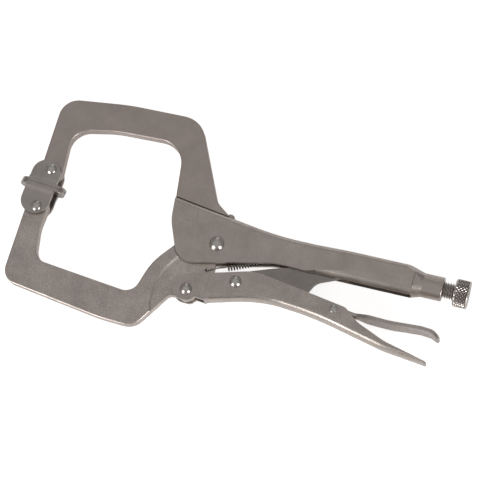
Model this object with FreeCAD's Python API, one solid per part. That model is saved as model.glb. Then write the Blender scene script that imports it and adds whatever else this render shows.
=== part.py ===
import FreeCAD, Part
import math
import os
from FreeCAD import Vector

# Locking C-clamp pliers, lying flat on one side.
# Origin: on the main pivot's axis, on the table, under that rivet's flat head.
# +X runs along the adjusting screw towards its knob, +Y is away from the lower handle,
# +Z is up through the thickness. Every piece is drawn about z = 0, the middle plane,
# and lifted by half the thickest piece, the knob, when it is written.

os.makedirs("parts", exist_ok=True)

# ---------------------------------------------------------------- overall sizes
REACH = 113.8              # main pivot to the pads' rivets, along X
ARM_RISE = 76.0            # top of the upper arm above the screw-side datum
ARM_DROP = 60.6            # bottom of the lower arm
HANDLE_LENGTH = 137.6      # main pivot to the end of the fixed handle's neck
GRIP_LENGTH = 138.6        # main pivot to the tip of the lower handle
LEVER_LENGTH = 142.8       # main pivot to the tip of the release lever

# ---------------------------------------------------------------- clearances
SIDE_PLAY = 0.1            # each side of a plate that turns between two cheeks
PIN_PLAY = 0.05            # radial, between a rivet and its hole
SCREW_PLAY = 0.08          # radial, between the screw and the neck
SWING_GAP = 0.6            # between edges that pass each other

# ---------------------------------------------------------------- pivots
PIVOT_JAW_HANDLE = (-10.6, -31.4)
PIVOT_LINK = (17.4, -20.3)
TOGGLE_TIP = (82.0, 4.7)
PIVOT_LEVER = (78.6, -23.2)
ARM_RIVET_AT = (-19.7, 13.8)
UPPER_PAD_AT = (-REACH, 23.1)
LOWER_PAD_AT = (-REACH - 2.0, -1.9)
SCREW_Y = TOGGLE_TIP[1]

# ---------------------------------------------------------------- jaw arms
ARM_T = 7.0                # blanked plate
ROOT_T = 5.2               # coined thinner where the cheeks and ears lie on it
ARM_EDGE = 0.9             # tumbled edge radius
ARM_TIP_R = 7.2            # round end inside a swivel pad
HUB_R = 9.5                # lower jaw, round the main pivot
LUG_R = 6.4                # lower jaw, round the lower handle's rivet
COIN_AT = (7.5, -37.7)     # coined recess round the lower handle's rivet
COIN_R = 37.2
COIN_SLOPE = 1.3           # its edge slopes, and is this wide
HOOK_HOLE = (-2.1, -16.9)
HOOK_HOLE_D = 2.0

# ---------------------------------------------------------------- toggle link
LINK_T = 5.0
LINK_END_R = 6.6
TOGGLE_TIP_R = 4.0

# ---------------------------------------------------------------- fixed handle
HANDLE_SHEET = 2.6
HANDLE_FOLD_R = 3.4        # outside of the folded back
TAIL_CORNER_R = HANDLE_FOLD_R + 0.9
TAIL_CURL_R = 7.4          # outside of the cheeks' lower edges, curled in round the screw
TAIL_CURL_X = 62.0
TAIL_CURL_RUN = 16.0       # over which the curl grows from nothing
TAIL_SLOT = LINK_T + 1.6   # left open between the curled edges
SHOULDER_SLOPE = 0.30      # of the cone that draws the tail down to the neck
SHOULDER_START = 2.5       # before the tail's end
SHOULDER_RUN = 3.0         # that the shoulder reaches along the neck
HANDLE_GAP = ROOT_T + 2 * SIDE_PLAY
NECK_LENGTH = 15.0         # round neck beyond the channel's end
TAIL_X = HANDLE_LENGTH - NECK_LENGTH
TAIL_BOTTOM = -4.4
TAIL_TOP = 13.8
NECK_WALL = 2.22
SPRING_TAB_X = 57.6
SPRING_TAB_T = 2.0
SPRING_TAB_Y = 8.9

# ---------------------------------------------------------------- lower handle
GRIP_SHEET = 2.4
GRIP_FOLD_R = 4.0
EAR_GAP = ROOT_T + 2 * SIDE_PLAY + 0.1
GRIP_GAP = 6.6
GRIP_TAIL_GAP = 7.8
JOGGLE_X = 1.4             # where the ears step out to the channel

# ---------------------------------------------------------------- release lever
LEVER_SHEET = 2.0
EAR_SHEET = 1.8            # drawn thinner where the ears are folded
LEVER_WIDTH = 15.0
LEVER_NECK_T = GRIP_TAIL_GAP - 0.8

# ---------------------------------------------------------------- screw and knob
SCREW_D = 9.8
NECK_D = SCREW_D + 2 * (SCREW_PLAY + NECK_WALL)
SCREW_SPIGOT_D = 7.0
SCREW_TIP_GAP = 3.2        # the open end of the linkage: link tip to screw tip
KNOB_D = 17.0
KNOB_LENGTH = 9.0
SHOWN_THREAD = 6.8         # between the neck and the knob with the jaws closed
KNOB_X = HANDLE_LENGTH + SHOWN_THREAD
KNOB_CHAMFER = 1.0
TAIL_GAP = SCREW_D + 0.5   # the channel is wider towards the neck, to take the screw
MID = max(KNOB_D, TAIL_GAP + 2 * HANDLE_SHEET) / 2

# ---------------------------------------------------------------- rivets
MAIN_SHANK_D = 6.0
MAIN_HEAD_D = 8.9
SHANK_D = 5.0
HEAD_D = 7.1
HEAD_FLAT = 0.5            # flat on a dome, as a share of the head's diameter
LEVER_PIN_D = 3.2
LEVER_PIN_HEAD_D = 4.6
ARM_RIVET_D = 7.6
RIVET_PROUD = 0.05         # its ends are ground almost flush
JAW_HEAD_T = 2.6
LINK_HEAD_T = 2.4
LEVER_PIN_HEAD_T = 0.9
PAD_SHANK_D = 4.6
PAD_HEAD_D = 6.7
PAD_HEAD_T = 1.9

# ---------------------------------------------------------------- swivel pads
PAD_TILT = -4.0            # both pads at rest, degrees
PAD_LENGTH = 29.0
PAD_WIDTH = 13.4
PAD_SHEET = 2.1
PAD_BEND_LENGTH = 18.4
PAD_EAR_R = PAD_BEND_LENGTH / 2
PAD_EAR_BEYOND = 5.2       # rivet to the ear's round end
PAD_EAR_GAP = ARM_T + 0.4
PAD_OFFSET = 2.1           # plate's middle to rivet, along the plate
UPPER_PAD_HEIGHT = 11.0    # clamping face to rivet
LOWER_PAD_HEIGHT = 13.9

# ---------------------------------------------------------------- spring
SPRING_OD = 4.4
SPRING_WIRE = 0.85
SPRING_LEAD = 12.0         # straight hook wire at the jaw end
SPRING_TAIL = 6.0          # straight hook wire at the handle end
WIRE_PLAY = 0.15           # hook wire to the face that it lies along


# ================================================================ helpers
def rounded_face(corners):
    """A flat face whose corners (x, y, radius) are joined by lines and rounded by arcs."""
    count = len(corners)
    edges = []
    ends = []
    for i in range(count):
        x, y, radius = corners[i]
        here = Vector(x, y, 0)
        back = Vector(corners[i - 1][0], corners[i - 1][1], 0) - here
        ahead = Vector(corners[(i + 1) % count][0], corners[(i + 1) % count][1], 0) - here
        back.normalize()
        ahead.normalize()
        turn = math.pi - back.getAngle(ahead)
        if radius <= 0 or turn < 1e-4:
            ends.append((here, here))
            edges.append(None)
            continue
        run = radius * math.tan(turn / 2)
        start = here + back * run
        stop = here + ahead * run
        inward = back + ahead
        inward.normalize()
        middle = here + inward * (radius / math.cos(turn / 2) - radius)
        ends.append((start, stop))
        edges.append(Part.Arc(start, middle, stop).toShape())
    outline = []
    for i in range(count):
        if edges[i] is not None:
            outline.append(edges[i])
        leave = ends[i][1]
        arrive = ends[(i + 1) % count][0]
        if (arrive - leave).Length > 1e-6:
            outline.append(Part.LineSegment(leave, arrive).toShape())
    return Part.Face(Part.Wire(outline))


def slab(corners, half):
    """Side outline in XY, drawn out to z = -half .. half."""
    face = rounded_face(corners)
    face.translate(Vector(0, 0, -half))
    return face.extrude(Vector(0, 0, 2 * half))


def plan_slab(stations, low, high):
    """Symmetric plan outline, (x, half width, radius) down one side, drawn out along Y."""
    near = [(x, half, radius) for x, half, radius in stations]
    far = [(x, -half, radius) for x, half, radius in reversed(stations)]
    face = rounded_face(near + far)
    face.rotate(Vector(0, 0, 0), Vector(1, 0, 0), -90)
    face.translate(Vector(0, low, 0))
    return face.extrude(Vector(0, high - low, 0))


def disc(at, radius, half):
    """A round boss or cutter along Z through the point at."""
    return Part.makeCylinder(radius, 2 * half, Vector(at[0], at[1], -half))


def drill(shape, at, diameter):
    """The shape with a hole along Z at the point at."""
    return shape.cut(disc(at, diameter / 2, 30))


def edges_where(shape, test):
    """Edges whose middle point passes the test."""
    chosen = []
    for edge in shape.Edges:
        middle = edge.valueAt((edge.FirstParameter + edge.LastParameter) / 2)
        if test(middle, edge):
            chosen.append(edge)
    return chosen


def tumbled_plate(corners, half, radius):
    """A blanked plate with both faces' edges rounded."""
    plate = slab(corners, half)
    rim = edges_where(plate, lambda m, e: abs(abs(m.z) - half) < 1e-6)
    return plate.makeFillet(radius, rim)


def rivet(at, shank_d, head_d, seat, top):
    """A rivet along Z: shank through, and a flat-topped dome from seat to top on each side."""
    shank = shank_d / 2
    rim = head_d / 2
    flat = rim * HEAD_FLAT
    rise = top - seat
    half_section = [
        Part.LineSegment(Vector(0, 0, -top), Vector(flat, 0, -top)).toShape(),
        Part.Arc(Vector(flat, 0, -top), Vector(rim * 0.86, 0, -seat - rise * 0.66),
                 Vector(rim, 0, -seat - rise * 0.16)).toShape(),
        Part.LineSegment(Vector(rim, 0, -seat - rise * 0.16), Vector(rim, 0, -seat)).toShape(),
        Part.LineSegment(Vector(rim, 0, -seat), Vector(shank, 0, -seat)).toShape(),
        Part.LineSegment(Vector(shank, 0, -seat), Vector(shank, 0, seat)).toShape(),
        Part.LineSegment(Vector(shank, 0, seat), Vector(rim, 0, seat)).toShape(),
        Part.LineSegment(Vector(rim, 0, seat), Vector(rim, 0, seat + rise * 0.16)).toShape(),
        Part.Arc(Vector(rim, 0, seat + rise * 0.16), Vector(rim * 0.86, 0, seat + rise * 0.66),
                 Vector(flat, 0, top)).toShape(),
        Part.LineSegment(Vector(flat, 0, top), Vector(0, 0, top)).toShape(),
        Part.LineSegment(Vector(0, 0, top), Vector(0, 0, -top)).toShape(),
    ]
    body = Part.Face(Part.Wire(half_section)).revolve(Vector(0, 0, 0), Vector(0, 0, 1), 360)
    body.translate(Vector(at[0], at[1], 0))
    return body


def rod(start, stop, radius):
    """A round bar between two points."""
    return Part.makeCylinder(radius, (stop - start).Length, start, stop - start)


def save(shape, name):
    """Lift a piece from the middle plane to the table and write its STEP file."""
    placed = shape.copy()
    placed.translate(Vector(0, 0, MID))
    placed.exportStep("parts/" + name + ".step")
    print(name, "solids", len(placed.Solids), "valid", placed.isValid(), "volume", round(placed.Volume))


# ================================================================ fixed handle
HANDLE_SIDE = [
    (-33.1, TAIL_TOP + 10.3, 0),
    (34.0, TAIL_TOP + 0.1, 200),
    (TAIL_X, TAIL_TOP, TAIL_CORNER_R),
    (TAIL_X, TAIL_BOTTOM, TAIL_CORNER_R),
    (66.0, TAIL_BOTTOM, 20),
    (37.0, TAIL_BOTTOM + 1.1, 30),
    (-20.5, -16.7, 12),
    (-31.5, 8.5, 30),
]


def curl_cutters(radius, half, low):
    """What lies outside a rounded lower corner, on both sides of the tail."""
    length = HANDLE_LENGTH - TAIL_CURL_X
    size = radius + 1
    cutters = []
    for side in (-1, 1):
        centre_z = side * (half - radius)
        corner = Vector(TAIL_CURL_X, low - 1, min(centre_z, centre_z + side * size))
        axis_start = Vector(TAIL_CURL_X, low + radius, centre_z)
        round_edge = Part.makeCylinder(radius, length, axis_start, Vector(1, 0, 0))
        cutters.append(Part.makeBox(length, size, size, corner).cut(round_edge))
    return cutters


def curl_run_in(radius, half, low):
    """Outside of a corner round that grows from nothing up to the start of the full curl."""
    start = TAIL_CURL_X - TAIL_CURL_RUN
    grow = radius / TAIL_CURL_RUN
    axis_length = TAIL_CURL_RUN * math.sqrt(1 + 2 * grow ** 2)
    spread = math.tan(math.asin(grow / math.sqrt(1 + 2 * grow ** 2)))
    reach = axis_length + 6
    round_edge = Part.makeCone(0, reach * spread, reach, Vector(start, low, half), Vector(1, grow, -grow))
    side = slab([(start, low - 1, 0), (TAIL_CURL_X, low - 1, 0), (TAIL_CURL_X, low + radius, 0),
                 (start, low, 0)], 20)
    plan = slab([(start, half + 1, 0), (start, half, 0), (TAIL_CURL_X, half - radius, 0),
                 (TAIL_CURL_X, half + 1, 0)], 20)
    plan.rotate(Vector(0, 0, 0), Vector(1, 0, 0), 90)
    cutter = side.common(plan).cut(round_edge)
    return [cutter, cutter.mirror(Vector(0, 0, 0), Vector(0, 0, 1))]


def fixed_handle():
    """Channel pressed from sheet, folded along its back, curled under and drawn to a round neck."""
    half = HANDLE_GAP / 2 + HANDLE_SHEET
    tail_half = TAIL_GAP / 2 + HANDLE_SHEET
    outer = slab(HANDLE_SIDE, 20).common(plan_slab(
        [(-60, half, 0), (58, half, 25), (80, tail_half, 25),
         (TAIL_X, tail_half, TAIL_CORNER_R)], -60, 60))
    back = edges_where(outer, lambda m, e: m.y > TAIL_TOP - 0.5 and -30 < m.x < TAIL_X - 2
                       and abs(m.z) > half - 0.2)
    outer = outer.makeFillet(HANDLE_FOLD_R, back)
    outer = outer.cut(curl_cutters(TAIL_CURL_R, tail_half, TAIL_BOTTOM))
    outer = outer.cut(curl_run_in(TAIL_CURL_R, tail_half, TAIL_BOTTOM))
    drawn_length = TAIL_X + SHOULDER_RUN + 60
    drawn = Part.makeCone(NECK_D / 2 + SHOULDER_SLOPE * drawn_length, NECK_D / 2, drawn_length,
                          Vector(-60, SCREW_Y, 0), Vector(1, 0, 0))
    shoulder = Part.makeBox(SHOULDER_RUN + SHOULDER_START, TAIL_TOP - TAIL_BOTTOM, 2 * tail_half,
                            Vector(TAIL_X - SHOULDER_START, TAIL_BOTTOM, -tail_half))
    outer = outer.fuse(shoulder).common(drawn)
    inside = [
        (-60, TAIL_TOP + 14.4 - HANDLE_SHEET, 0),
        (34.0, TAIL_TOP + 0.1 - HANDLE_SHEET, 200),
        (TAIL_X - HANDLE_SHEET, TAIL_TOP - HANDLE_SHEET, 2.0),
        (TAIL_X - HANDLE_SHEET, -60, 0),
        (-60, -60, 0),
    ]
    cavity = slab(inside, 20).common(plan_slab(
        [(-61, HANDLE_GAP / 2, 0), (58, HANDLE_GAP / 2, 25), (80, TAIL_GAP / 2, 25),
         (TAIL_X - HANDLE_SHEET, TAIL_GAP / 2, 1.5)], -61, 61))
    lip_y = TAIL_BOTTOM + HANDLE_SHEET
    below_lips = Part.makeBox(HANDLE_LENGTH, 60, 40, Vector(TAIL_CURL_X, lip_y - 60, -20))
    cavity = cavity.cut(below_lips).cut(curl_cutters(TAIL_CURL_R - HANDLE_SHEET, TAIL_GAP / 2, lip_y))
    cavity = cavity.fuse(Part.makeBox(TAIL_X - HANDLE_SHEET - TAIL_CURL_X, SCREW_Y + 50, TAIL_SLOT,
                                      Vector(TAIL_CURL_X, -50, -TAIL_SLOT / 2)))
    neck = Part.makeCylinder(NECK_D / 2, NECK_LENGTH + 3, Vector(TAIL_X - 3, SCREW_Y, 0), Vector(1, 0, 0))
    lip = edges_where(neck, lambda m, e: m.x > HANDLE_LENGTH - 0.1)
    neck = neck.makeFillet(0.8, lip)
    body = outer.fuse(neck).cut(cavity)
    tab = slab([
        (SPRING_TAB_X - 3, SPRING_TAB_Y - 2.2, 1.5),
        (SPRING_TAB_X + 3, SPRING_TAB_Y - 2.2, 1.5),
        (SPRING_TAB_X + 3, TAIL_TOP - HANDLE_SHEET + 0.5, 0),
        (SPRING_TAB_X - 3, TAIL_TOP - HANDLE_SHEET + 0.5, 0),
    ], SPRING_TAB_T / 2)
    tab = tab.cut(disc((SPRING_TAB_X, SPRING_TAB_Y), HOOK_HOLE_D / 2, SPRING_TAB_T))
    body = body.fuse(tab)
    bore = Part.makeCylinder(SCREW_D / 2 + SCREW_PLAY, 60, Vector(TAIL_X - 20, SCREW_Y, 0), Vector(1, 0, 0))
    body = body.cut(bore)
    slot = slab([(-60, 5, 0), (3.6, 5, 0), (3.6, 40, 0), (-60, 40, 0)], HANDLE_GAP / 2)
    body = body.cut(slot)
    body = drill(body, (0, 0), MAIN_SHANK_D + 2 * PIN_PLAY)
    body = drill(body, ARM_RIVET_AT, ARM_RIVET_D + 2 * PIN_PLAY)
    return body.removeSplitter()


# ================================================================ upper jaw arm
def upper_jaw_arm():
    """C-shaped blanked arm. Its root is coined thin, slots through the handle's back and is riveted."""
    px, py = UPPER_PAD_AT
    outline = [
        (px - 7.4, py - ARM_TIP_R, 6.5),
        (px + 7.3, py - ARM_TIP_R, 6.5),
        (px + 4.6, ARM_RISE - 24.6, 13),
        (-82.0, ARM_RISE - 19.4, 60),
        (-37.6, ARM_RISE - 18.2, 16),
        (-33.3, 25.0, 8),
        (-31.0, 14.0, 3),
        (-27.4, 3.6, 2),
        (-9.5, 11.2, 3),
        (4.5, 12.6, 2),
        (2.2, 19.4, 2),
        (-7.2, 26.0, 14),
        (-31.5, ARM_RISE, 17),
        (-78.0, ARM_RISE - 0.5, 150),
        (px - 6.9, ARM_RISE - 5.4, 12),
    ]
    plate = tumbled_plate(outline, ARM_T / 2, ARM_EDGE)
    under_cheeks = rounded_face(HANDLE_SIDE).makeOffset2D(0.1)
    for low, high in ((-10, -ROOT_T / 2), (ROOT_T / 2, 10)):
        cutter = under_cheeks.copy()
        cutter.translate(Vector(0, 0, low))
        plate = plate.cut(cutter.extrude(Vector(0, 0, high - low)))
    plate = drill(plate, ARM_RIVET_AT, ARM_RIVET_D + 2 * PIN_PLAY)
    plate = drill(plate, UPPER_PAD_AT, PAD_SHANK_D + 2 * PIN_PLAY)
    return plate.cut(disc((0, 0), HUB_R + SWING_GAP, 10))


# ================================================================ lower jaw arm
def lower_jaw_arm():
    """C-shaped blanked arm that turns on the main pivot, with a coined root and a spring tab."""
    px, py = LOWER_PAD_AT
    outline = [
        (px - 7.2, py + ARM_TIP_R, 6.5),
        (px + 7.2, py + ARM_TIP_R, 6.5),
        (px + 5.6, -14.5, 25),
        (px + 8.7, 26.4 - ARM_DROP, 9),
        (-42.2, 19.6 - ARM_DROP, 8.5),
        (-36.2, -19.5, 40),
        (-22.0, -1.5, 12),
        (-12.0, 4.0, 6),
        (-6.0, 6.5, 6),
        (6.0, 6.5, 6),
        (6.0, -7.0, 4),
        (2.1, -10.5, 3),
        (2.1, -20.6, 1.5),
        (-4.0, -24.5, 4),
        (-4.6, -32.0, 4),
        (-10.0, -36.5, 4),
        (-20.2, -36.6, 4),
        (-36.0, -ARM_DROP - 0.6, 12),
        (-58.0, 0.3 - ARM_DROP, 100),
        (px - 8.1, 9.6 - ARM_DROP, 10),
    ]
    plate = tumbled_plate(outline, ARM_T / 2, ARM_EDGE)
    under_cheeks = rounded_face(HANDLE_SIDE).makeOffset2D(0.5)
    coined_root = rounded_face([(-14, -42, 0), (20, -42, 0), (20, 12, 0), (-14, 12, 0)])
    recess = under_cheeks.fuse(coined_root)
    for side in (-1, 1):
        cutter = recess.copy()
        cutter.translate(Vector(0, 0, side * ROOT_T / 2))
        plate = plate.cut(cutter.extrude(Vector(0, 0, side * ARM_T)))
        coin = Part.makeCone(COIN_R, COIN_R + COIN_SLOPE, (ARM_T - ROOT_T) / 2, Vector(*COIN_AT, ROOT_T / 2))
        if side < 0:
            coin = coin.mirror(Vector(0, 0, 0), Vector(0, 0, 1))
        plate = plate.cut(coin)
    plate = plate.fuse(disc((0, 0), HUB_R, ROOT_T / 2))
    plate = plate.fuse(disc(PIVOT_JAW_HANDLE, LUG_R, ROOT_T / 2))
    plate = drill(plate, (0, 0), MAIN_SHANK_D + 2 * PIN_PLAY)
    plate = drill(plate, PIVOT_JAW_HANDLE, SHANK_D + 2 * PIN_PLAY)
    plate = drill(plate, HOOK_HOLE, HOOK_HOLE_D)
    plate = drill(plate, LOWER_PAD_AT, PAD_SHANK_D + 2 * PIN_PLAY)
    return plate.removeSplitter()


# ================================================================ lower handle
WEB_LINE = [
    (JOGGLE_X, -35.7, 0),
    (34.0, -26.5, 85),
    (68.0, -29.4, 200),
    (112.0, -39.4, 60),
    (GRIP_LENGTH, -42.5, 0.6),
]


def web_y(x):
    """Height of the grip's folded web at a station along its length, before rounding."""
    for (x0, y0, _), (x1, y1, _) in zip(WEB_LINE, WEB_LINE[1:]):
        if x <= x1:
            return y0 + (y1 - y0) * (x - x0) / (x1 - x0)
    return WEB_LINE[-1][1]


def grip_half_widths(extra, front, end):
    """Plan of the grip, offset outwards by extra: parallel cheeks that spread a little to the tail."""
    return [(front, GRIP_GAP / 2 + extra, 0), (40, GRIP_GAP / 2 + extra, 40),
            (75, GRIP_TAIL_GAP / 2 + extra, 40), (end, GRIP_TAIL_GAP / 2 + extra - 0.8, 0)]


def lower_handle():
    """Channel open towards the fixed handle: two flat ears, a step out, then a folded grip."""
    ear_half = EAR_GAP / 2 + GRIP_SHEET
    tail_half = GRIP_TAIL_GAP / 2 + GRIP_SHEET
    top_line = [
        (27.0, -11.3, 30),
        (85.2, -20.6, 6),
        (94.0, -27.6, 20),
        (112.0, -35.0, 40),
        (GRIP_LENGTH, -41.0, 0.6),
    ]
    block = slab([(JOGGLE_X, 10, 0), (GRIP_LENGTH, 10, 0), *reversed(WEB_LINE)], 20)
    block = block.common(plan_slab(grip_half_widths(GRIP_SHEET, JOGGLE_X - 5, GRIP_LENGTH + 5), -80, 60))
    fold = edges_where(block, lambda m, e: m.x < GRIP_LENGTH - 0.1 and m.x > JOGGLE_X + 0.1
                       and abs(m.y - web_y(m.x)) < 2.4 and abs(m.z) > GRIP_GAP / 2 + GRIP_SHEET - 0.3)
    block = block.makeFillet(GRIP_FOLD_R, fold)
    inside = [
        (JOGGLE_X - 5, -38.0 + GRIP_SHEET, 0),
        *[(x, y + GRIP_SHEET, radius) for x, y, radius in WEB_LINE[1:4]],
        (GRIP_LENGTH + 10, -43.7 + GRIP_SHEET, 0),
        (GRIP_LENGTH + 10, 20, 0),
        (JOGGLE_X - 5, 20, 0),
    ]
    cavity = slab(inside, 20).common(plan_slab(grip_half_widths(0, JOGGLE_X - 9, GRIP_LENGTH + 11), -81, 61))
    trim = slab([(JOGGLE_X - 1, -18.9, 0), *top_line, (GRIP_LENGTH, -60, 0), (JOGGLE_X - 1, -60, 0)], 20)
    tip = plan_slab([(JOGGLE_X - 9, 15, 0), (GRIP_LENGTH - 4.5, 15, 0),
                     (GRIP_LENGTH - 4.5, tail_half - 0.8, 0), (GRIP_LENGTH, tail_half - 0.8, 4.5)], -90, 70)
    grip = block.cut(cavity).common(trim).common(tip)
    ear_outline = [
        (-19.6, -23.9, 5),
        (JOGGLE_X + 6, -16.7, 0),
        (JOGGLE_X + 6, -31.0, 0),
        (JOGGLE_X, -35.4, 0),
        (-4.6, -34.8, 2),
        (-6.6, -38.0, 4.0),
        (-19.2, -38.0, 7.2),
    ]
    ears = slab(ear_outline, ear_half).cut(slab(ear_outline, EAR_GAP / 2))
    body = grip.fuse(ears)
    body = drill(body, PIVOT_JAW_HANDLE, SHANK_D + 2 * PIN_PLAY)
    body = drill(body, PIVOT_LINK, SHANK_D + 2 * PIN_PLAY)
    body = drill(body, PIVOT_LEVER, LEVER_PIN_D + 2 * PIN_PLAY)
    return body.removeSplitter()


# ================================================================ toggle link
def toggle_link():
    """Blanked strut from the lower handle to the screw's tip."""
    cx, cy = PIVOT_LINK
    dx, dy = TOGGLE_TIP
    outline = [
        (cx - 4.0, cy + 5.2, 3),
        (36.5, -6.6, 25),
        (50.0, -2.6, 30),
        (dx - 2.0, dy + 4.4, 3),
        (dx + 2.5, dy + 3.4, 2),
        (dx + 2.5, dy - 3.6, 2),
        (dx - 2.5, dy - 6.4, 10),
        (63.5, -8.6, 9),
        (59.2, -17.6, 1.5),
        (cx + 13.5, cy - 3.4, 20),
        (cx - 3.0, cy - 5.8, 3),
    ]
    plate = slab(outline, LINK_T / 2)
    plate = plate.fuse(disc(PIVOT_LINK, LINK_END_R, LINK_T / 2))
    plate = plate.fuse(disc(TOGGLE_TIP, TOGGLE_TIP_R, LINK_T / 2))
    return drill(plate, PIVOT_LINK, SHANK_D + 2 * PIN_PLAY).removeSplitter()


# ================================================================ release lever
def release_lever():
    """Two ears on a pin inside the lower handle, and a wide tail that leaves between the handles."""
    px, py = PIVOT_LEVER
    end = LEVER_LENGTH
    strip = [
        (px - 6.0, py + 3.6, 0.8),
        (px + 12.0, py + 1.2, 20),
        (px + 34.0, py + 0.5, 60),
        (end - 12.0, py + 1.7, 16),
        (end - 4.5, py + 1.2, 8),
        (end + 0.3, py - 2.0, 0.8),
        (end - 1.0, py - 1.4 - LEVER_SHEET, 0.8),
        (end - 5.2, py + 1.1 - LEVER_SHEET, 6),
        (end - 12.0, py + 1.7 - LEVER_SHEET, 14),
        (px + 34.0, py + 0.5 - LEVER_SHEET, 60),
        (px + 12.0, py + 1.2 - LEVER_SHEET, 20),
        (px - 6.0, py + 3.6 - LEVER_SHEET, 0.8),
    ]
    neck = LEVER_NECK_T / 2
    wide = LEVER_WIDTH / 2
    tail = slab(strip, 20).common(plan_slab(
        [(px - 20, neck, 0), (px + 13.4, neck, 3), (px + 20.6, wide, 8),
         (end + 0.5, wide - 0.4, 6.5)], -60, 60))
    ears = slab([
        (px - 15.2, py + 3.4, 1.6),
        (px - 9.0, py + 2.4, 3),
        (px - 4.0, py + 3.6, 3),
        (px + 4.0, py + 3.2, 3),
        (px + 9.0, py + 0.6, 1.5),
        (px + 3.0, py - 3.8, 3),
        (px - 4.0, py - 3.8, 3),
        (px - 14.6, py - 0.2, 1.6),
    ], neck)
    slit = slab([
        (px - 12.0, py + 1.4, 0),
        (px + 20.0, py + 1.4, 0),
        (px + 20.0, py - 10.0, 0),
        (px - 12.0, py - 10.0, 0),
    ], neck - EAR_SHEET)
    body = ears.cut(slit).fuse(tail)
    return drill(body, PIVOT_LEVER, LEVER_PIN_D + 2 * PIN_PLAY).removeSplitter()


# ================================================================ screw, knob
def adjusting_screw():
    """Threaded screw that bears on the toggle link; shown at its outer diameter."""
    tip = TOGGLE_TIP[0] + TOGGLE_TIP_R + SCREW_TIP_GAP
    axis = Vector(1, 0, 0)
    shank = Part.makeCylinder(SCREW_D / 2, KNOB_X - tip, Vector(tip, SCREW_Y, 0), axis)
    nose = edges_where(shank, lambda m, e: m.x < tip + 0.1 and e.Length > 2)
    shank = shank.makeChamfer(1.2, nose)
    spigot = Part.makeCylinder(SCREW_SPIGOT_D / 2, KNOB_LENGTH - 1.5, Vector(KNOB_X, SCREW_Y, 0), axis)
    return shank.fuse(spigot).removeSplitter()


def adjusting_knob():
    """Thumb knob pressed on the screw's spigot, chamfered at the inner end and rounded at the outer."""
    axis = Vector(1, 0, 0)
    knob = Part.makeCylinder(KNOB_D / 2, KNOB_LENGTH, Vector(KNOB_X, SCREW_Y, 0), axis)
    inner = edges_where(knob, lambda m, e: m.x < KNOB_X + 0.1 and e.Length > KNOB_D)
    knob = knob.makeChamfer(KNOB_CHAMFER, inner)
    outer = edges_where(knob, lambda m, e: m.x > KNOB_X + KNOB_LENGTH - 0.1 and e.Length > KNOB_D)
    knob = knob.makeFillet(KNOB_CHAMFER, outer)
    bore_r = SCREW_SPIGOT_D / 2 + PIN_PLAY
    bore = Part.makeCylinder(bore_r, KNOB_LENGTH - 1.4, Vector(KNOB_X, SCREW_Y, 0), axis)
    return knob.cut(bore)


# ================================================================ spring
def tension_spring():
    """Extension spring as a sleeve of its outer size, with a hooked wire at each end."""
    wire = SPRING_WIRE / 2
    jaw_side = ROOT_T / 2 + wire + WIRE_PLAY
    tab_side = SPRING_TAB_T / 2 + wire + WIRE_PLAY
    a = Vector(HOOK_HOLE[0], HOOK_HOLE[1], 0)
    b = Vector(SPRING_TAB_X, SPRING_TAB_Y, 0)
    run = b - a
    length = run.Length
    run.normalize()
    first = a + run * SPRING_LEAD
    last = b - run * SPRING_TAIL
    coil = Part.makeCylinder(SPRING_OD / 2, (last - first).Length, first, run)
    bore = Part.makeCylinder(SPRING_OD / 2 - SPRING_WIRE, (last - first).Length, first, run)
    body = coil.cut(bore)
    for hook, end, inward, side, reach, clear in (
            (a, first, run, jaw_side, ROOT_T / 2, 7.0),
            (b, last, run * -1, tab_side, SPRING_TAB_T / 2, 4.4)):
        path = [
            hook + Vector(0, 0, -reach),
            hook + Vector(0, 0, side),
            hook + inward * clear + Vector(0, 0, side),
            end + inward * 0.6 + Vector(0, 0, SPRING_OD / 2 - wire),
        ]
        for start, stop in zip(path, path[1:]):
            body = body.fuse(rod(start, stop, wire)).fuse(Part.makeSphere(wire, stop))
    return body


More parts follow.
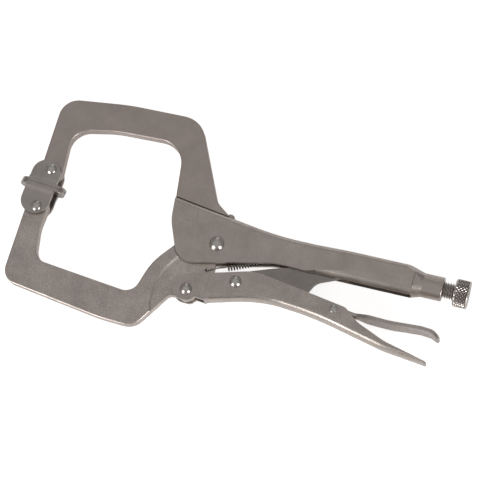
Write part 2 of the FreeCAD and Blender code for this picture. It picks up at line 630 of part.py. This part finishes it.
# ================================================================ swivel pads
def swivel_pad(at, height, side):
    """Barrel-ended clamping plate with two folded ears; side is -1 above and +1 below the work."""
    half = PAD_WIDTH / 2
    ear_half = PAD_EAR_GAP / 2 + PAD_SHEET
    plate = plan_slab([(-PAD_LENGTH / 2, half, half - 0.2), (PAD_LENGTH / 2, half, half - 0.2)], 0, PAD_SHEET)
    rim = edges_where(plate, lambda m, e: m.y > PAD_SHEET - 0.01)
    plate = plate.makeFillet(0.5, rim)
    section = Part.Face(Part.makePolygon([
        Vector(0, 0, -half), Vector(0, 0, half), Vector(0, 2.6, half), Vector(0, 4.6, ear_half),
        Vector(0, 40, ear_half), Vector(0, 40, ear_half - PAD_SHEET),
        Vector(0, PAD_SHEET, ear_half - PAD_SHEET), Vector(0, PAD_SHEET, -ear_half + PAD_SHEET),
        Vector(0, 40, -ear_half + PAD_SHEET),
        Vector(0, 40, -ear_half), Vector(0, 4.6, -ear_half), Vector(0, 2.6, -half), Vector(0, 0, -half)]))
    section.translate(Vector(-PAD_BEND_LENGTH / 2, 0, 0))
    channel = section.extrude(Vector(PAD_BEND_LENGTH, 0, 0))
    fold = edges_where(channel, lambda m, e: m.y < 0.01 and abs(abs(m.z) - half) < 0.01)
    channel = channel.makeFillet(1.6, fold)
    top = height + PAD_EAR_BEYOND
    outline = slab([
        (-PAD_EAR_R, -1, 0),
        (-PAD_EAR_R, top, PAD_EAR_R - 0.2),
        (PAD_EAR_R, top, PAD_EAR_R - 0.2),
        (PAD_EAR_R, -1, 0),
    ], 20)
    pad = channel.common(outline).fuse(plate)
    pad = drill(pad, (PAD_OFFSET, height), PAD_SHANK_D + 2 * PIN_PLAY)
    pad.translate(Vector(-PAD_OFFSET, -height, 0))
    if side > 0:
        pad = pad.mirror(Vector(0, 0, 0), Vector(0, 1, 0))
    pad.rotate(Vector(0, 0, 0), Vector(0, 0, 1), PAD_TILT)
    pad.translate(Vector(at[0], at[1], 0))
    return pad.removeSplitter()


# ================================================================ small solids
def arm_weld_bead(handle, arm):
    """Bead that closes the corner between the upper arm and the folded back."""
    bead = Part.makeCylinder(2.6, HANDLE_GAP - 0.6, Vector(3.0, 18.4, -HANDLE_GAP / 2 + 0.3))
    rim = edges_where(bead, lambda m, e: e.Length > 6)
    bead = bead.makeFillet(1.2, rim)
    bead = bead.cut(slab(HANDLE_SIDE, 20)).cut(arm)
    return max(bead.Solids, key=lambda s: s.Volume)


handle = fixed_handle()
arm = upper_jaw_arm()
ear_seat = EAR_GAP / 2 + GRIP_SHEET
grip_seat = GRIP_GAP / 2 + GRIP_SHEET
tail_seat = GRIP_TAIL_GAP / 2 + GRIP_SHEET
cheek_seat = HANDLE_GAP / 2 + HANDLE_SHEET
pad_seat = PAD_EAR_GAP / 2 + PAD_SHEET

save(handle, "fixed_handle")
save(arm, "upper_jaw_arm")
save(arm_weld_bead(handle, arm), "arm_weld_bead")
save(disc(ARM_RIVET_AT, ARM_RIVET_D / 2, cheek_seat + RIVET_PROUD), "arm_rivet")
save(rivet((0, 0), MAIN_SHANK_D, MAIN_HEAD_D, cheek_seat, MID), "main_pivot_rivet")
save(lower_jaw_arm(), "lower_jaw_arm")
save(lower_handle(), "lower_handle")
save(rivet(PIVOT_JAW_HANDLE, SHANK_D, HEAD_D, ear_seat, ear_seat + JAW_HEAD_T), "jaw_handle_rivet")
save(rivet(PIVOT_LINK, SHANK_D, HEAD_D, grip_seat, grip_seat + LINK_HEAD_T), "link_rivet")
save(toggle_link(), "toggle_link")
save(release_lever(), "release_lever")
lever_pin_top = tail_seat + LEVER_PIN_HEAD_T
save(rivet(PIVOT_LEVER, LEVER_PIN_D, LEVER_PIN_HEAD_D, tail_seat, lever_pin_top), "release_lever_pin")
save(adjusting_screw(), "adjusting_screw")
save(adjusting_knob(), "adjusting_knob")
save(tension_spring(), "tension_spring")
save(swivel_pad(UPPER_PAD_AT, UPPER_PAD_HEIGHT, -1), "upper_swivel_pad")
save(swivel_pad(LOWER_PAD_AT, LOWER_PAD_HEIGHT, 1), "lower_swivel_pad")
save(rivet(UPPER_PAD_AT, PAD_SHANK_D, PAD_HEAD_D, pad_seat, pad_seat + PAD_HEAD_T), "upper_pad_rivet")
save(rivet(LOWER_PAD_AT, PAD_SHANK_D, PAD_HEAD_D, pad_seat, pad_seat + PAD_HEAD_T), "lower_pad_rivet")
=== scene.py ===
import math
import bmesh
import bpy
from mathutils import Matrix, Vector


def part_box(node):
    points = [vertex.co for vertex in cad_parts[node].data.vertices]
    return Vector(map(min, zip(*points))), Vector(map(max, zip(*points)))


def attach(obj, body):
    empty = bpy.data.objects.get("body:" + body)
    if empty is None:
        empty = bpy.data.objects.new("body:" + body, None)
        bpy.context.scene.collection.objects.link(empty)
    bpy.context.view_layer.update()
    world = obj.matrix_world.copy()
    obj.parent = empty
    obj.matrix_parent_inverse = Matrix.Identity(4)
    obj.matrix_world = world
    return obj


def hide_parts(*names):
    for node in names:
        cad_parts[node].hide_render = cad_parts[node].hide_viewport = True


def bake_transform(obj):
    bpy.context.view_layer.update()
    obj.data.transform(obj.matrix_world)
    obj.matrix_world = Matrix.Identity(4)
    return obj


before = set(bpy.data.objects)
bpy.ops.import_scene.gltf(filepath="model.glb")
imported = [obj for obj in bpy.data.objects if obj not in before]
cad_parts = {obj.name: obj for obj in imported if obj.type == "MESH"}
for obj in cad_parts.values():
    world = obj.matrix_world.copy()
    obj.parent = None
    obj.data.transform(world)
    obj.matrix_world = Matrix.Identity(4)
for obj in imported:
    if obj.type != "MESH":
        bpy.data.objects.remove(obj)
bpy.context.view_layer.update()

MM = 0.001

# ---------------------------------------------------------------- camera
# It looks down on the pliers from the lower handle's side, far enough away for a flat, catalogue
# perspective, and is rolled so that the handles run down to the right.
VIEW_TARGET = Vector((12.0, 6.9, 8.5)) * MM
VIEW_DISTANCE = 0.990
VIEW_ELEVATION = math.radians(70.8)
VIEW_AZIMUTH = math.radians(37.0)
VIEW_ROLL = math.radians(-22.66)
LENS = 123.0
SENSOR = 36.0

towards_camera = Vector((math.sin(VIEW_AZIMUTH) * math.cos(VIEW_ELEVATION),
                         -math.cos(VIEW_AZIMUTH) * math.cos(VIEW_ELEVATION),
                         math.sin(VIEW_ELEVATION)))
camera_data = bpy.data.cameras.new("catalogue_camera")
camera_data.lens = LENS
camera_data.sensor_width = SENSOR
camera_data.clip_end = 20.0
camera = bpy.data.objects.new("catalogue_camera", camera_data)
facing = (-towards_camera).to_track_quat("-Z", "Y")
camera.matrix_world = (Matrix.Translation(VIEW_TARGET + towards_camera * VIEW_DISTANCE)
                       @ facing.to_matrix().to_4x4() @ Matrix.Rotation(VIEW_ROLL, 4, "Z"))
bpy.context.collection.objects.link(camera)
bpy.context.scene.camera = camera

# ---------------------------------------------------------------- light tent
# A pale, back-lit table under the tool, a dim ceiling above it, and three soft boxes: two low ones
# in front, left and right, that draw the bright lines on the edges, and a weak one behind. The
# table's glow is held down in the metal's reflections, so the pieces' sides stay grey.
FLOOR_SIZE = 8.0
FLOOR_WHITE = (0.92, 0.92, 0.92, 1)
FLOOR_GLOW = 0.84
FLOOR_GLOW_IN_METAL = 0.18
CEILING_GLOW = 0.40
HORIZON_GLOW = 0.16
SOFT_BOXES = [
    ("front_left", (-0.60, -1.00, 0.42), 0.55, 5.0),
    ("front_right", (1.02, -0.66, 0.34), 0.50, 5.0),
    ("back", (-0.25, 1.45, 0.50), 0.60, 0.6),
]

floor_mesh = bmesh.new()
bmesh.ops.create_grid(floor_mesh, x_segments=1, y_segments=1, size=FLOOR_SIZE / 2)
floor_data = bpy.data.meshes.new("floor")
floor_mesh.to_mesh(floor_data)
floor_mesh.free()
floor = bpy.data.objects.new("floor", floor_data)
floor_paint = bpy.data.materials.new("floor_paint")
floor_paint.use_nodes = True
floor_shader = floor_paint.node_tree.nodes["Principled BSDF"]
floor_shader.inputs["Base Color"].default_value = FLOOR_WHITE
floor_shader.inputs["Roughness"].default_value = 0.9
floor_shader.inputs["Emission Color"].default_value = FLOOR_WHITE
ray = floor_paint.node_tree.nodes.new("ShaderNodeLightPath")
floor_glow = floor_paint.node_tree.nodes.new("ShaderNodeMapRange")
floor_glow.inputs["To Min"].default_value = FLOOR_GLOW
floor_glow.inputs["To Max"].default_value = FLOOR_GLOW_IN_METAL
floor_paint.node_tree.links.new(ray.outputs["Is Glossy Ray"], floor_glow.inputs["Value"])
floor_paint.node_tree.links.new(floor_glow.outputs["Result"], floor_shader.inputs["Emission Strength"])
floor_data.materials.append(floor_paint)
bpy.context.collection.objects.link(floor)

world = bpy.data.worlds.new("light_tent")
world.use_nodes = True
sky = world.node_tree.nodes
sky_links = world.node_tree.links
where = sky.new("ShaderNodeTexCoord")
height = sky.new("ShaderNodeSeparateXYZ")
glow = sky.new("ShaderNodeMapRange")
glow.inputs["From Min"].default_value = 0.2
glow.inputs["From Max"].default_value = 1.0
glow.inputs["To Min"].default_value = HORIZON_GLOW
glow.inputs["To Max"].default_value = CEILING_GLOW
sky_links.new(where.outputs["Generated"], height.inputs[0])
sky_links.new(height.outputs["Z"], glow.inputs["Value"])
sky_links.new(glow.outputs["Result"], sky["Background"].inputs["Strength"])
sky["Background"].inputs["Color"].default_value = (1.0, 0.975, 0.955, 1)
bpy.context.scene.world = world

for label, place, size, power in SOFT_BOXES:
    box_light = bpy.data.lights.new("soft_box_" + label, "AREA")
    box_light.size = size
    box_light.energy = power
    box_light.color = (1.0, 0.985, 0.97)
    soft_box = bpy.data.objects.new("soft_box_" + label, box_light)
    soft_box.location = place
    soft_box.rotation_euler = (-Vector(place)).to_track_quat("-Z", "Y").to_euler()
    bpy.context.collection.objects.link(soft_box)

bpy.context.scene.view_settings.view_transform = "Standard"

# ---------------------------------------------------------------- upper jaw arm
# A deep C blanked from 7 mm plate and barrel tumbled, so its edges are round and its faces carry a
# fine cloudy grain under dull nickel plate. Its coined root is riveted between the handle's cheeks.
ARM_NICKEL = (0.64, 0.565, 0.525, 1)


def plated_steel(name, colour, roughness, cloud=0.10, grain=0.10, scratches=0.25, pitting=0.35):
    """Nickel plate: cloudy tumbling marks, a fine pitted grain, stray scratches and painted shade in
    its creases.
    """
    material = bpy.data.materials.new(name)
    material.use_nodes = True
    nodes = material.node_tree.nodes
    links = material.node_tree.links
    shader = nodes["Principled BSDF"]
    shader.inputs["Metallic"].default_value = 1.0
    place = nodes.new("ShaderNodeTexCoord")

    clouds = nodes.new("ShaderNodeTexNoise")
    clouds.inputs["Scale"].default_value = 75.0
    clouds.inputs["Detail"].default_value = 5.0
    clouds.inputs["Roughness"].default_value = 0.65
    links.new(place.outputs["Object"], clouds.inputs["Vector"])

    speckle = nodes.new("ShaderNodeTexNoise")
    speckle.inputs["Scale"].default_value = 1400.0
    speckle.inputs["Detail"].default_value = 3.0
    speckle.inputs["Roughness"].default_value = 0.6
    links.new(place.outputs["Object"], speckle.inputs["Vector"])

    stretch = nodes.new("ShaderNodeMapping")
    stretch.inputs["Rotation"].default_value = (0.3, 0.2, 0.9)
    stretch.inputs["Scale"].default_value = (60.0, 2400.0, 60.0)
    links.new(place.outputs["Object"], stretch.inputs["Vector"])
    streaks = nodes.new("ShaderNodeTexNoise")
    streaks.inputs["Scale"].default_value = 1.0
    streaks.inputs["Detail"].default_value = 2.0
    links.new(stretch.outputs["Vector"], streaks.inputs["Vector"])
    thin = nodes.new("ShaderNodeMapRange")
    thin.inputs["From Min"].default_value = 0.66
    thin.inputs["From Max"].default_value = 0.74
    thin.inputs["To Max"].default_value = scratches
    links.new(streaks.outputs["Fac"], thin.inputs["Value"])

    shade = nodes.new("ShaderNodeMapRange")
    shade.inputs["From Min"].default_value = 0.3
    shade.inputs["From Max"].default_value = 0.7
    shade.inputs["To Min"].default_value = 1.0 - cloud
    shade.inputs["To Max"].default_value = 1.0 + cloud * 0.5
    links.new(clouds.outputs["Fac"], shade.inputs["Value"])
    fleck = nodes.new("ShaderNodeMapRange")
    fleck.inputs["From Min"].default_value = 0.3
    fleck.inputs["From Max"].default_value = 0.7
    fleck.inputs["To Min"].default_value = 1.0 - grain
    fleck.inputs["To Max"].default_value = 1.0 + grain * 0.4
    links.new(speckle.outputs["Fac"], fleck.inputs["Value"])
    both = nodes.new("ShaderNodeMath")
    both.operation = "MULTIPLY"
    links.new(shade.outputs["Result"], both.inputs[0])
    links.new(fleck.outputs["Result"], both.inputs[1])
    # Ambient occlusion darkens the colour in creases, gaps and along steps: this is painted shade.
    corners = nodes.new("ShaderNodeAmbientOcclusion")
    corners.samples = 6
    corners.inputs["Distance"].default_value = 1.6 * MM
    painted_crease_shade = nodes.new("ShaderNodeMapRange")
    painted_crease_shade.inputs["From Min"].default_value = 0.25
    painted_crease_shade.inputs["From Max"].default_value = 0.8
    painted_crease_shade.inputs["To Min"].default_value = 0.30
    links.new(corners.outputs["AO"], painted_crease_shade.inputs["Value"])
    total = nodes.new("ShaderNodeMath")
    total.operation = "MULTIPLY"
    links.new(both.outputs[0], total.inputs[0])
    links.new(painted_crease_shade.outputs["Result"], total.inputs[1])
    tint = nodes.new("ShaderNodeVectorMath")
    tint.operation = "SCALE"
    tint.inputs[0].default_value = colour[:3]
    links.new(total.outputs[0], tint.inputs["Scale"])
    links.new(tint.outputs["Vector"], shader.inputs["Base Color"])

    dull = nodes.new("ShaderNodeMapRange")
    dull.inputs["From Min"].default_value = 0.3
    dull.inputs["From Max"].default_value = 0.7
    dull.inputs["To Min"].default_value = roughness + 0.06
    dull.inputs["To Max"].default_value = roughness - 0.05
    links.new(clouds.outputs["Fac"], dull.inputs["Value"])
    worn = nodes.new("ShaderNodeMath")
    worn.operation = "ADD"
    links.new(dull.outputs["Result"], worn.inputs[0])
    links.new(thin.outputs["Result"], worn.inputs[1])
    links.new(worn.outputs[0], shader.inputs["Roughness"])

    pits = nodes.new("ShaderNodeBump")
    pits.inputs["Strength"].default_value = pitting
    pits.inputs["Distance"].default_value = 0.03 * MM
    links.new(speckle.outputs["Fac"], pits.inputs["Height"])
    waves = nodes.new("ShaderNodeBump")
    waves.inputs["Strength"].default_value = 0.4
    waves.inputs["Distance"].default_value = 0.12 * MM
    links.new(clouds.outputs["Fac"], waves.inputs["Height"])
    links.new(pits.outputs["Normal"], waves.inputs["Normal"])
    links.new(waves.outputs["Normal"], shader.inputs["Normal"])
    return material


def refinish(node, material):
    """Give a carried-over piece its finish."""
    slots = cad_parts[node].data.materials
    slots.clear()
    slots.append(material)


tumbled_arm = plated_steel("tumbled_arm_nickel", ARM_NICKEL, 0.36)
refinish("upper_jaw_arm", tumbled_arm)
refinish("arm_weld_bead", tumbled_arm)

# ---------------------------------------------------------------- fixed handle
# A channel pressed from 2.6 mm sheet and folded along its back, drawn to a round neck at its tail
# and plated after pressing, which leaves it smoother and brighter than the arms.
SHEET_NICKEL = (0.67, 0.60, 0.555, 1)

pressed_sheet = plated_steel("pressed_sheet_nickel", SHEET_NICKEL, 0.30, cloud=0.12, grain=0.12)
refinish("fixed_handle", pressed_sheet)

# ---------------------------------------------------------------- lower jaw arm
# The second C, from the same plate as the first, that turns on the main pivot. It is plated in
# another batch and is a little lighter and more mottled.
LOWER_ARM_NICKEL = (0.78, 0.70, 0.655, 1)

mottled_arm = plated_steel("mottled_arm_nickel", LOWER_ARM_NICKEL, 0.34, cloud=0.20, grain=0.30)
refinish("lower_jaw_arm", mottled_arm)

# ---------------------------------------------------------------- lower handle and release lever
# The squeezed handle is a channel open towards the fixed one, and the lever is a bent strip on a
# pin inside it. Both are pressed sheet, with the long rubbing marks that a hand leaves.
GRIP_NICKEL = (0.70, 0.63, 0.585, 1)

worn_sheet = plated_steel("worn_sheet_nickel", GRIP_NICKEL, 0.29, cloud=0.18, grain=0.22, scratches=0.3)
refinish("lower_handle", worn_sheet)
refinish("release_lever", worn_sheet)

# ---------------------------------------------------------------- toggle link
# A strut blanked from 5 mm plate, riveted to the lower handle and bearing on the screw's end. It
# is seen only in shadow and is the dullest piece. Its colour is darkened with painted shade for the
# shadow it sits in.
SHADE_DARKENED_LINK_NICKEL = (0.45, 0.42, 0.395, 1)

dull_shade_darkened_link = plated_steel("dull_shade_darkened_link_nickel", SHADE_DARKENED_LINK_NICKEL, 0.42)
refinish("toggle_link", dull_shade_darkened_link)

# ---------------------------------------------------------------- swivel pads
# Two plates pressed from 2.1 mm sheet, with folded ears that a rivet holds to each arm's end.
# Their faces are hammered bright by use.
PAD_NICKEL = (0.60, 0.555, 0.52, 1)

pad_plate = plated_steel("pad_nickel", PAD_NICKEL, 0.30, cloud=0.14)
refinish("upper_swivel_pad", pad_plate)
refinish("lower_swivel_pad", pad_plate)

# ---------------------------------------------------------------- rivets
# Each pivot is a plain steel rivet with a spun dome at both ends. The upper arm's own rivet is
# ground flush with the cheeks, and shows as a faint ring.
RIVET_NICKEL = (0.74, 0.71, 0.68, 1)
DOME_SIDES = 64
DOME_RINGS = 9
DOME_START = 0.16

rivet_plate = plated_steel("rivet_nickel", RIVET_NICKEL, 0.22, cloud=0.05, grain=0.05, scratches=0.1)
refinish("arm_rivet", pressed_sheet)


def new_object(name, mesh_work, material, smooth_below=40):
    """A finished piece from a bmesh, with smooth shading between faces that meet at a shallow angle."""
    bmesh.ops.remove_doubles(mesh_work, verts=mesh_work.verts, dist=0.002 * MM)
    bmesh.ops.recalc_face_normals(mesh_work, faces=mesh_work.faces)
    data = bpy.data.meshes.new(name)
    mesh_work.to_mesh(data)
    mesh_work.free()
    data.shade_smooth()
    data.set_sharp_from_angle(angle=math.radians(smooth_below))
    data.materials.append(material)
    made = bpy.data.objects.new(name, data)
    bpy.context.collection.objects.link(made)
    return made


def profile_line(mesh_work, points):
    """A string of edges through the points, ready to be spun."""
    line = [mesh_work.verts.new(point) for point in points]
    for near, far in zip(line, line[1:]):
        mesh_work.edges.new((near, far))
    return mesh_work.verts[:] + mesh_work.edges[:]


def spun_rivet(node, shank, seat):
    """A shank and two domes, spun about the rivet's axis inside the piece that it stands for."""
    low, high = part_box(node)
    centre = (Vector(low) + Vector(high)) / 2
    rim = (high[0] - low[0]) / 2
    top = (high[2] - low[2]) / 2
    shoulder = seat + (top - seat) * DOME_START
    rise = top - shoulder
    bend = (rim * rim + rise * rise) / (2 * rise)
    sweep = math.asin(rim / bend)
    dome = []
    for ring in range(DOME_RINGS + 1):
        angle = sweep * ring / DOME_RINGS
        dome.append((bend * math.sin(angle), top - bend * (1 - math.cos(angle))))
    half = dome + [(rim, seat), (shank, seat)]
    section = half + [(r, -z) for r, z in reversed(half)]
    work = bmesh.new()
    geom = profile_line(work, [centre + Vector((r, 0, z)) for r, z in section])
    bmesh.ops.spin(work, geom=geom, cent=centre, axis=(0, 0, 1), angle=math.tau,
                   steps=DOME_SIDES, use_merge=True)
    return new_object(node + "_dome", work, rivet_plate)


for node, body, shank, seat in (
        ("main_pivot_rivet", "frame", 3.0, 5.3),
        ("upper_pad_rivet", "frame", 2.3, 5.8),
        ("lower_pad_rivet", "jaw", 2.3, 5.8),
        ("jaw_handle_rivet", "jaw", 2.5, 5.15),
        ("link_rivet", "grip", 2.5, 5.7),
        ("release_lever_pin", "grip", 1.6, 6.3)):
    rivet = spun_rivet(node, shank * MM, seat * MM)
    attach(rivet, body)
    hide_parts(node)

# ---------------------------------------------------------------- adjusting screw
# A steel screw with a coarse rolled thread that runs through the neck and bears on the toggle
# link. Its spigot is pressed into the knob, so the two turn together.
THREAD_PITCH = 1.5 * MM
THREAD_DEPTH = 0.92 * MM
CREST = 0.20 * MM
ROOT = 0.38 * MM
SCREW_SIDES = 48
TIP_CHAMFER = 1.2 * MM

screw_low, screw_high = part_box("adjusting_screw")
knob_low, knob_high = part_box("adjusting_knob")
screw_axis = Vector((0, (screw_low[1] + screw_high[1]) / 2, (screw_low[2] + screw_high[2]) / 2))
crest_r = (screw_high[1] - screw_low[1]) / 2
root_r = crest_r - THREAD_DEPTH
flank = (THREAD_PITCH - CREST - ROOT) / 2
thread_end = knob_low[0]
turns = math.ceil((thread_end - screw_low[0]) / THREAD_PITCH) + 2
section = []
for turn in range(turns):
    start = screw_low[0] - THREAD_PITCH + turn * THREAD_PITCH
    section += [(start, crest_r), (start + CREST, crest_r),
                (start + CREST + flank, root_r), (start + CREST + flank + ROOT, root_r)]
work = bmesh.new()
geom = profile_line(work, [screw_axis + Vector((x, 0, r)) for x, r in section])
bmesh.ops.spin(work, geom=geom, cent=screw_axis, axis=(1, 0, 0), angle=math.tau, steps=SCREW_SIDES,
               dvec=(THREAD_PITCH / SCREW_SIDES, 0, 0), use_merge=False)
bmesh.ops.remove_doubles(work, verts=work.verts, dist=0.01 * MM)
for cut_x, side in ((screw_low[0], -1), (thread_end, 1)):
    cut = bmesh.ops.bisect_plane(work, geom=work.verts[:] + work.edges[:] + work.faces[:],
                                 plane_co=(cut_x, 0, 0), plane_no=(side, 0, 0), clear_outer=True)
    rim_edges = [e for e in cut["geom_cut"] if isinstance(e, bmesh.types.BMEdge)]
    bmesh.ops.holes_fill(work, edges=rim_edges)
end_cap = [f for f in work.faces if all(abs(v.co.x - thread_end) < 1e-7 for v in f.verts)]
bmesh.ops.inset_region(work, faces=end_cap, thickness=0.2 * MM)
for vert in work.verts:
    out = Vector((0, vert.co.y, vert.co.z)) - screw_axis
    allowed = crest_r - max(0.0, TIP_CHAMFER - (vert.co.x - screw_low[0]))
    if vert.co.x < screw_low[0] + TIP_CHAMFER and out.length > allowed:
        shrunk = screw_axis + out.normalized() * allowed
        vert.co.y = shrunk.y
        vert.co.z = shrunk.z
rolled_thread = plated_steel("thread_nickel", (0.74, 0.675, 0.63, 1), 0.26, cloud=0.05, grain=0.04)
screw = new_object("rolled_screw", work, rolled_thread, smooth_below=30)
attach(screw, "screw")
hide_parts("adjusting_screw")

# ---------------------------------------------------------------- adjusting knob
# A thumb knob turned from steel bar, with a diamond knurl between its two chamfers, and pressed
# on the screw's end. The knurl's grooves are darkened with painted shade and its ridges lightened
# with a painted highlight.
KNURLS = 24
STEPS_PER_KNURL = 10
KNURL_DEPTH = 0.80 * MM
KNOB_CHAMFER = 1.0 * MM
END_CROWN = 0.5 * MM
KNURL_START = 0.99 * KNOB_CHAMFER
RIM_TOLERANCE = 0.05 * MM
GROOVE_SHADE = 0.12
RIDGE_HIGHLIGHT = 1.15

knob_r = (knob_high[1] - knob_low[1]) / 2
knob_length = knob_high[0] - knob_low[0]
knurl_pitch = math.tau * knob_r / KNURLS
rows = round((knob_length - 2 * KNOB_CHAMFER) / knurl_pitch * STEPS_PER_KNURL)
outline = [(0.0, 0.0), (0.0, knob_r - KNOB_CHAMFER - 0.2 * MM), (0.15 * MM, knob_r - KNOB_CHAMFER)]
for row in range(rows + 1):
    outline.append((KNOB_CHAMFER + (knob_length - 2 * KNOB_CHAMFER) * row / rows, knob_r))
for step in range(1, 6):
    angle = math.radians(90 * step / 6)
    outline.append((
        knob_length - KNOB_CHAMFER - END_CROWN + (KNOB_CHAMFER + END_CROWN * 0.4) * math.sin(angle),
        knob_r - KNOB_CHAMFER * (1 - math.cos(angle))))
outline += [
    (knob_length - 0.25 * MM, knob_r * 0.72),
    (knob_length - 0.05 * MM, knob_r * 0.35),
    (knob_length, 0.0),
]
work = bmesh.new()
geom = profile_line(work, [screw_axis + Vector((knob_low[0] + x, 0, r)) for x, r in outline])
bmesh.ops.spin(work, geom=geom, cent=screw_axis, axis=(1, 0, 0), angle=math.tau,
               steps=KNURLS * STEPS_PER_KNURL, use_merge=True)
for vert in work.verts:
    along = vert.co.x - knob_low[0]
    out = Vector((0, vert.co.y, vert.co.z)) - screw_axis
    on_barrel = KNURL_START < along < knob_length - KNURL_START
    if out.length < knob_r - RIM_TOLERANCE or not on_barrel:
        continue
    around = math.atan2(out.z, out.y) / math.tau * KNURLS
    ridge_a = abs((around + along / knurl_pitch) % 1 - 0.5) * 2
    ridge_b = abs((around - along / knurl_pitch) % 1 - 0.5) * 2
    sunk = screw_axis + out.normalized() * (knob_r - KNURL_DEPTH * (1 - min(ridge_a, ridge_b)))
    vert.co.y = sunk.y
    vert.co.z = sunk.z
knurled_plate = plated_steel("knurl_nickel", (0.84, 0.775, 0.73, 1), 0.27, cloud=0.08, grain=0.05)
knurl_nodes = knurled_plate.node_tree.nodes
knurl_links = knurled_plate.node_tree.links
knurl_shader = knurl_nodes["Principled BSDF"]
# Pointiness darkens the knurl's grooves with painted shade and lightens its ridges with a painted
# highlight.
form = knurl_nodes.new("ShaderNodeNewGeometry")
knurl_shade_and_highlight = knurl_nodes.new("ShaderNodeMapRange")
knurl_shade_and_highlight.inputs["From Min"].default_value = 0.44
knurl_shade_and_highlight.inputs["From Max"].default_value = 0.56
knurl_shade_and_highlight.inputs["To Min"].default_value = GROOVE_SHADE
knurl_shade_and_highlight.inputs["To Max"].default_value = RIDGE_HIGHLIGHT
painted_knurl_light = knurl_nodes.new("ShaderNodeVectorMath")
painted_knurl_light.operation = "SCALE"
knurl_links.new(form.outputs["Pointiness"], knurl_shade_and_highlight.inputs["Value"])
knurl_links.new(knurl_shader.inputs["Base Color"].links[0].from_socket, painted_knurl_light.inputs[0])
knurl_links.new(knurl_shade_and_highlight.outputs["Result"], painted_knurl_light.inputs["Scale"])
knurl_links.new(painted_knurl_light.outputs["Vector"], knurl_shader.inputs["Base Color"])
knob = new_object("knurled_knob", work, knurled_plate, smooth_below=25)
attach(knob, "knob")
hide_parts("adjusting_knob")

# ---------------------------------------------------------------- tension spring
# An open-wound spring of hard steel wire that pulls the jaws apart. One hook goes through the tab
# of the lower jaw and the other through a tab inside the fixed handle.
WIRE = 0.85 * MM
COIL_MEAN_R = 1.775 * MM
COIL_PITCH = 1.7 * MM
WIRE_SIDES = 10
STEPS_PER_TURN = 18
JAW_HOLE = Vector((-2.1, -16.9, 8.5)) * MM
HANDLE_HOLE = Vector((57.6, 8.9, 8.5)) * MM
JAW_LEAD = 12.0 * MM
HANDLE_LEAD = 6.0 * MM
JAW_FACE = 2.6 * MM
TAB_FACE = 1.0 * MM
WIRE_CLEAR = 0.15 * MM
HOOK_REACH = 0.85
UP = Vector((0, 0, 1))

pull = (HANDLE_HOLE - JAW_HOLE).normalized()
across = UP.cross(pull)
coil_start = JAW_HOLE + pull * JAW_LEAD
coil_length = (HANDLE_HOLE - JAW_HOLE).length - JAW_LEAD - HANDLE_LEAD
coil_turns = round(coil_length / COIL_PITCH)


def hook(hole, inward, face, reach):
    """Points of one hook, from the wire's end under the tab, over its face and in to the coil."""
    above = face + WIRE_CLEAR + WIRE / 2
    return [
        hole - UP * (face + WIRE * 1.2) + inward * 0.5 * MM,
        hole - UP * face * 0.3,
        hole + UP * (above - 0.5 * MM) + inward * 0.1 * MM,
        hole + UP * above + inward * 0.8 * MM,
        hole + UP * above + inward * reach * 0.7,
        hole + UP * (above * 0.35 + COIL_MEAN_R * 0.65) + inward * reach,
    ]


wire_path = hook(JAW_HOLE, pull, JAW_FACE, JAW_LEAD * HOOK_REACH)
for step in range(coil_turns * STEPS_PER_TURN + 1):
    share = step / (coil_turns * STEPS_PER_TURN)
    angle = math.tau * coil_turns * share
    wire_path.append(coil_start + pull * coil_length * share
                     + (UP * math.cos(angle) + across * math.sin(angle)) * COIL_MEAN_R)
wire_path += reversed(hook(HANDLE_HOLE, -pull, TAB_FACE, HANDLE_LEAD * HOOK_REACH))

work = bmesh.new()
heading = (wire_path[1] - wire_path[0]).normalized()
first_turn = heading.to_track_quat("Z", "X").to_matrix().to_4x4()
ring = bmesh.ops.create_circle(work, cap_ends=True, radius=WIRE / 2, segments=WIRE_SIDES)
bmesh.ops.transform(work, verts=ring["verts"],
                    matrix=Matrix.Translation(wire_path[0]) @ first_turn)
front = list(work.faces)
for index in range(1, len(wire_path)):
    ahead = wire_path[min(index + 1, len(wire_path) - 1)]
    aim = (ahead - wire_path[index - 1]).normalized()
    grown = bmesh.ops.extrude_face_region(work, geom=front)
    if index > 1:
        bmesh.ops.delete(work, geom=front, context="FACES_ONLY")
    verts = [v for v in grown["geom"] if isinstance(v, bmesh.types.BMVert)]
    front = [f for f in grown["geom"] if isinstance(f, bmesh.types.BMFace)]
    turn = heading.rotation_difference(aim).to_matrix().to_4x4()
    bmesh.ops.transform(work, verts=verts, matrix=(Matrix.Translation(wire_path[index]) @ turn
                                                   @ Matrix.Translation(-wire_path[index - 1])))
    heading = aim
spring_wire = plated_steel("spring_wire", (0.50, 0.47, 0.44, 1), 0.25, cloud=0.05, grain=0.03)
spring = new_object("wound_spring", work, spring_wire, smooth_below=80)
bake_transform(spring)
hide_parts("tension_spring")
